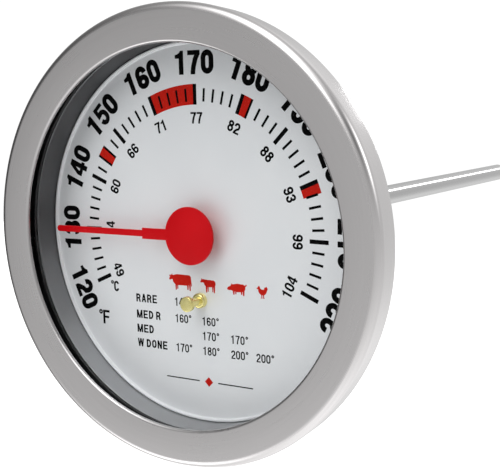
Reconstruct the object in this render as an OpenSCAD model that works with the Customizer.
// Dial thermometer for meat: a round case with a window and a pointer in front, and a pointed
// stem behind it with a bimetal coil in its end.
//
// The stem lies along +Y and the dial faces -Y, with its top at +Z and its right-hand side at +X.
// The origin is on the stem's axis, where the stem leaves its ferrule. Heights above the printed
// face of the dial are counted towards the window, so parts behind that face have negative ones.

/* [Bezel] */
// Outer diameter of the bezel
bezel_d = 70.3; // [69:0.1:80]
// Diameter of the window in the bezel
window_d = 58.5; // [55:0.1:59.2]
// Height of the bezel's face beside its outer edge
bezel_h = 8; // [7.8:0.1:8.6]
// Height of the bezel's face beside the window
lip_h = 7.6; // [7.5:0.05:7.8]
// Height of the bezel's back edge
bezel_back_h = 2.3; // [2:0.1:2.6]
// Radius of the bezel's rolled outer edge
bezel_edge_r = 1.3; // [1:0.1:1.8]
// Amount by which the bezel's wall narrows towards its back, on the radius
bezel_taper = 0.25; // [0:0.05:0.4]
// Radius of the bezel's soft edge round the window
lip_r = 0.45; // [0.2:0.05:0.5]
// Thickness of the bezel's sheet
bezel_t = 0.6; // [0.4:0.05:0.65]

/* [Case] */
// Inside diameter of the case at its mouth
case_d = 60.5; // [60.4:0.1:61]
// Height of the case's flange
flange_h = 4.1; // [3.9:0.1:4.3]
// Depth from the dial's face to the outside of the case back
case_back = 7.8; // [7.4:0.1:8.4]
// Thickness of the case's sheet
case_t = 0.5; // [0.4:0.05:0.6]
// Inside radius of the corner between the case's wall and its back
case_corner_r = 4.5; // [3:0.5:5]
// Depth of the round recess in the case back that the ferrule sits in
well_depth = 0.8; // [0.5:0.1:1]

/* [Window] */
// Thickness of the glass
glass_t = 1.6; // [1:0.1:1.8]
// Diameter of the glass
glass_d = 63.2; // [62.5:0.1:63.6]

/* [Dial] */
// Thickness of the dial plate
dial_t = 0.5; // [0.4:0.1:0.8]
// Height of the raised bead round the dial
bead_h = 0.45; // [0.3:0.05:0.6]

/* [Pointer] */
// Distance from the axis to the pointer's tip
pointer_l = 27.2; // [20:0.1:28]
// Diameter of the pointer's disc
disc_d = 9.06; // [7:0.02:10]
// Thickness of the pointer
pointer_t = 0.4; // [0.3:0.05:0.5]
// Height of the pointer's front face
pointer_h = 2.78; // [2.5:0.02:2.9]
// Width of the needle
needle_w = 1.02; // [0.6:0.02:1.2]
// Width of the pointer's arm beside the disc
arm_w = 1.75; // [1.2:0.05:2.5]
// Distance from the axis to the end of that arm
arm_l = 9.1; // [7:0.1:9.5]

/* [Stop pin] */
// Distance from the axis to the stop pin
stop_r = 10.5; // [10.4:0.1:13]
// Height of the stop pin's head
stop_h = 3.94; // [3.8:0.02:4.2]
// Diameter of the stop pin's head
stop_head_d = 2.4; // [2:0.1:3]

/* [Stem] */
// Diameter of the stem
stem_d = 4; // [3.6:0.1:4.6]
// Length of the stem behind its ferrule, with its point
stem_l = 127; // [100:1:150]
// Thickness of the stem's wall
stem_t = 0.35; // [0.25:0.05:0.5]
// Length of the stem's point
tip_l = 4; // [3:0.5:8]
// Length of the ferrule behind the case
ferrule_l = 3.2; // [2.5:0.1:6]

/* [Movement] */
// Diameter of the spindle
spindle_d = 1; // [0.8:0.1:1.2]
// Running clearance of the spindle in its bushes, on the radius
running_gap = 0.03; // [0.02:0.01:0.08]
// Turns of the bimetal coil
coil_turns = 20; // [12:1:24]
// Pitch of the bimetal coil
coil_pitch = 1.5; // [1.3:0.1:1.6]

/* [Hidden] */

$fn = 96;
arc_steps = 8;
seal_t = 0.5;
washer_t = 0.5;
nut_t = 2.2;
nut_across_flats = 10;

// Bezel, case and window
bezel_r = bezel_d / 2;
window_r = window_d / 2;
skirt_edge_r = 0.8;
hem_reach = 2.6;
case_r = case_d / 2;
case_draft = 0.0767;
flange_r = bezel_r - bezel_taper - bezel_t - 0.1;
floor_h = case_t - case_back;
well_h = floor_h + well_depth;
well_r = 8;
well_slope = 0.6;
case_hole_r = 3.55;
gasket_t = 0.65;
gasket_r = glass_d / 2 + 1.4;

// Dial and its support
dial_y = -case_back - ferrule_l;
dial_r = case_r - 0.4;
dial_hole_r = 1.8;
bead_w = 0.7;
support_t = 0.5;
support_r = 14.5;
support_well_r = 7.4;

// Stop pin, whose neck stops the needle
stop_neck_r = 0.65;
stop_shank_r = 0.6;
stop_collar_r = 1.2;
stop_collar_h = 0.9;
stop_head_t = 0.84;
stop_tail_r = 1.2;

// Ferrule, whose spigot the stem is pressed and welded on, and movement
stem_r = stem_d / 2;
stem_bore_r = stem_r - stem_t;
ferrule_r = 5.5;
ferrule_bore_r = 0.9;
spigot_l = 3;
neck_r = 3.5;
neck_h = well_h + 3.7;
bearing_r = 1.8;
bearing_l = 2.2;
spindle_r = spindle_d / 2;
hub_r = 1.6;
hub_h = 0.9;
collar_r = 1.2;
collar_t = 0.6;
guide_l = 3;

// Depths behind the origin of the parts in the stem
tube_l = stem_l - tip_l;
anchor_l = 3;
anchor_post_l = 2.5;
anchor_y = tube_l - spigot_l - anchor_l;
coil_end_y = anchor_y - 0.5;
coil_start_y = coil_end_y - coil_turns * coil_pitch;
helix_collar_l = 2.5;
helix_collar_y = coil_start_y - 0.5;
lower_guide_y = helix_collar_y - guide_l - 0.5;
upper_guide_y = 20;
spindle_end_y = helix_collar_y + helix_collar_l;
coil_r = 1.2;
coil_t = 0.2;
coil_w = 1;
coil_segments = 16;

// Points of an arc about [r, h] in an outline that is turned about the axis
function arc(r, h, radius, from, to) =
    [for (i = [0 : arc_steps])
        let (a = from + (to - from) * i / arc_steps)
        [r + radius * cos(a), h + radius * sin(a)]];

// Inside radius of the case's wall at a height
function wall_r(h) = case_r - case_draft * (flange_h - h);

// Places children, drawn on the dial's face with its normal along Z, on the object
module on_dial() {
    translate([0, dial_y, 0]) rotate([90, 0, 0]) children();
}

// Places children, drawn along Z from 0, along the stem from a depth behind the origin
module along_stem(y) {
    translate([0, y, 0]) rotate([-90, 0, 0]) children();
}

// A round bush with a bore
module bush(outer_r, inner_r, length) {
    linear_extrude(length) difference() {
        circle(outer_r);
        circle(inner_r);
    }
}

module bezel_ring() {
    edge = bezel_r - bezel_edge_r;
    edge_h = bezel_h - bezel_edge_r;
    lip = window_r + lip_r;
    skirt_r = bezel_r - bezel_taper - skirt_edge_r;
    skirt_h = bezel_back_h + skirt_edge_r;
    hem_r = skirt_r - hem_reach;
    hem_h = flange_h - case_t;
    color("silver") on_dial() rotate_extrude() polygon(concat(
        [[window_r, lip_h - bezel_t]],
        arc(lip, lip_h - lip_r, lip_r, 180, 90),
        arc(edge, edge_h, bezel_edge_r, 90, 0),
        arc(skirt_r, skirt_h, skirt_edge_r, 0, -90),
        [[hem_r, hem_h - bezel_t], [hem_r, hem_h]],
        arc(skirt_r, skirt_h, skirt_edge_r - bezel_t, -90, 0),
        arc(edge, edge_h, bezel_edge_r - bezel_t, 0, 90)));
}

module case_cup() {
    inner = wall_r(floor_h + case_corner_r);
    corner_r = inner - case_corner_r;
    corner_h = floor_h + case_corner_r;
    foot_r = well_r + well_slope;
    color("gray") on_dial() rotate_extrude() polygon(concat(
        [[case_hole_r, well_h], [well_r + case_t, well_h], [foot_r + case_t, floor_h]],
        arc(corner_r, corner_h, case_corner_r, -90, 0),
        [[case_r, flange_h], [flange_r, flange_h], [flange_r, flange_h - case_t],
            [wall_r(flange_h - case_t) + case_t, flange_h - case_t]],
        arc(corner_r, corner_h, case_corner_r + case_t, 0, -90),
        [[foot_r, floor_h - case_t], [well_r, well_h - case_t], [case_hole_r, well_h - case_t]]));
}

module lens_gasket() {
    low = flange_h;
    high = flange_h + 2 * gasket_t + glass_t;
    groove_r = glass_d / 2;
    inner_r = case_r + 0.1;
    color([0.06, 0.06, 0.07]) on_dial() rotate_extrude() polygon([
        [inner_r, low], [gasket_r, low], [gasket_r, high], [inner_r, high],
        [inner_r, high - gasket_t], [groove_r, high - gasket_t],
        [groove_r, low + gasket_t], [inner_r, low + gasket_t]]);
}

module glass_lens() {
    color([0.85, 0.92, 0.95, 0.3]) on_dial()
        translate([0, 0, flange_h + gasket_t]) cylinder(r = glass_d / 2, h = glass_t);
}

module dial_plate() {
    bead_r = dial_r - bead_w / 2;
    color("gainsboro") on_dial() difference() {
        rotate_extrude() polygon(concat(
            [[dial_hole_r, -dial_t], [dial_r, -dial_t], [dial_r, bead_h - bead_w / 2]],
            arc(bead_r, bead_h - bead_w / 2, bead_w / 2, 0, 180),
            [[bead_r - bead_w / 2, 0], [dial_hole_r, 0]]));
        translate([0, -stop_r, -dial_t - 1]) cylinder(r = stop_shank_r, h = dial_t + 2);
    }
}

module dial_support() {
    bowl_r = support_well_r - support_t;
    top = -dial_t;
    color("darkgray") on_dial() difference() {
        rotate_extrude() polygon([
            [case_hole_r, well_h], [support_well_r, well_h],
            [support_well_r, top - support_t], [support_r, top - support_t], [support_r, top],
            [bowl_r, top], [bowl_r, well_h + support_t], [case_hole_r, well_h + support_t]]);
        translate([0, -stop_r, top - 2]) cylinder(r = stop_shank_r, h = 3);
    }
}

module stop_pin() {
    back = -dial_t - support_t;
    color([0.85, 0.75, 0.45]) on_dial() translate([0, -stop_r, 0]) rotate_extrude($fn = 48)
        polygon(concat(
            [[0, back - support_t], [stop_tail_r, back - support_t], [stop_tail_r, back],
                [stop_shank_r, back], [stop_shank_r, 0], [stop_collar_r, 0]],
            arc(stop_collar_r - 0.3, stop_collar_h - 0.3, 0.3, 0, 90),
            [[stop_neck_r, stop_collar_h], [stop_neck_r, stop_h - stop_head_t]],
            arc(stop_head_d / 2 - 0.2, stop_h - stop_head_t + 0.2, 0.2, -90, 0),
            arc(stop_head_d / 2 - 0.2, stop_h - 0.2, 0.2, 0, 90),
            [[0, stop_h]]));
}

module pointer() {
    color("red") on_dial() translate([0, 0, pointer_h - pointer_t]) linear_extrude(pointer_t) {
        circle(d = disc_d);
        translate([-arm_l, -arm_w / 2]) square([arm_l, arm_w]);
        translate([-pointer_l + needle_w / 2, -needle_w / 2])
            square([pointer_l - needle_w / 2, needle_w]);
        translate([-pointer_l + needle_w / 2, 0]) circle(d = needle_w);
    }
}

module pointer_hub() {
    color("goldenrod") on_dial() translate([0, 0, hub_h])
        bush(hub_r, spindle_r, pointer_h - pointer_t - hub_h);
}

module spindle() {
    front_y = dial_y - pointer_h + pointer_t;
    color("silver") along_stem(front_y) cylinder(r = spindle_r, h = spindle_end_y - front_y);
}

module front_bearing() {
    color("goldenrod") on_dial() translate([0, 0, neck_h - bearing_l])
        bush(bearing_r, spindle_r + running_gap, bearing_l);
}

module thrust_collar() {
    color("goldenrod") on_dial() translate([0, 0, neck_h + 0.1])
        bush(collar_r, spindle_r, collar_t);
}

module stem_ferrule() {
    face = well_h - case_t - seal_t;
    collar = face - 1.4;
    back = -case_back - ferrule_l;
    seat = neck_h - bearing_l;
    color("lightgray") on_dial() rotate_extrude() polygon([
        [ferrule_bore_r, back - spigot_l], [stem_bore_r, back - spigot_l], [stem_bore_r, back],
        [stem_r + 0.8, back], [ferrule_r - 1.5, collar], [ferrule_r - 0.3, collar],
        [ferrule_r, collar + 0.3], [ferrule_r, face], [neck_r, face], [neck_r, neck_h],
        [bearing_r, neck_h], [bearing_r, seat], [ferrule_bore_r, seat]]);
}

module ferrule_seal() {
    color("firebrick") on_dial() translate([0, 0, well_h - case_t - seal_t])
        bush(ferrule_r - 0.3, case_hole_r, seal_t);
}

module lock_washer() {
    color("darkgray") on_dial() translate([0, 0, well_h + support_t])
        bush(nut_across_flats / 2, case_hole_r, washer_t);
}

module ferrule_nut() {
    color("silver") on_dial() translate([0, 0, well_h + support_t + washer_t]) difference() {
        cylinder(r = nut_across_flats / 2 / cos(30), h = nut_t, $fn = 6);
        translate([0, 0, -1]) cylinder(r = neck_r, h = nut_t + 2);
    }
}

module stem_tube() {
    color("silver") along_stem(0) bush(stem_r, stem_bore_r, tube_l);
}

module guide(y) {
    color("goldenrod") along_stem(y) bush(stem_bore_r, spindle_r + running_gap, guide_l);
}

module upper_guide() {
    guide(upper_guide_y);
}

module lower_guide() {
    guide(lower_guide_y);
}

module bimetal_helix() {
    steps = coil_turns * coil_segments;
    corners = [[-1, -1], [1, -1], [1, 1], [-1, 1]];
    points = [for (i = [0 : steps], c = corners)
        let (a = 360 * i / coil_segments, r = coil_r + c[0] * coil_t / 2)
        [r * cos(a), r * sin(a), coil_pitch * i / coil_segments + c[1] * coil_w / 2]];
    sides = [for (i = [0 : steps - 1], k = [0 : 3])
        let (j = (k + 1) % 4)
        [4 * i + k, 4 * i + 4 + k, 4 * i + 4 + j, 4 * i + j]];
    color("peru") along_stem(coil_start_y) polyhedron(points = points,
        faces = concat([[0, 1, 2, 3]], sides, [[for (k = [3 : -1 : 0]) 4 * steps + k]]));
}

module helix_collar() {
    color("silver") along_stem(helix_collar_y) bush(coil_r - coil_t / 2 - 0.1, spindle_r,
        helix_collar_l);
}

module helix_anchor() {
    color("silver") along_stem(anchor_y) {
        cylinder(r = stem_bore_r, h = anchor_l);
        translate([0, 0, -anchor_post_l]) cylinder(r = coil_r - coil_t / 4, h = anchor_post_l);
    }
}

module stem_tip() {
    nose_r = 0.5;
    cone_angle = 25;
    color("silver") along_stem(tube_l) rotate_extrude() polygon(concat(
        [[0, -spigot_l], [stem_bore_r, -spigot_l], [stem_bore_r, 0], [stem_r, 0]],
        arc(0, tip_l - nose_r, nose_r, cone_angle, 90)));
}

bezel_ring();
case_cup();
lens_gasket();
glass_lens();
dial_plate();
dial_support();
stop_pin();
pointer();
pointer_hub();
spindle();
front_bearing();
thrust_collar();
stem_ferrule();
ferrule_seal();
ferrule_nut();
lock_washer();
stem_tube();
upper_guide();
lower_guide();
bimetal_helix();
helix_collar();
helix_anchor();
stem_tip();
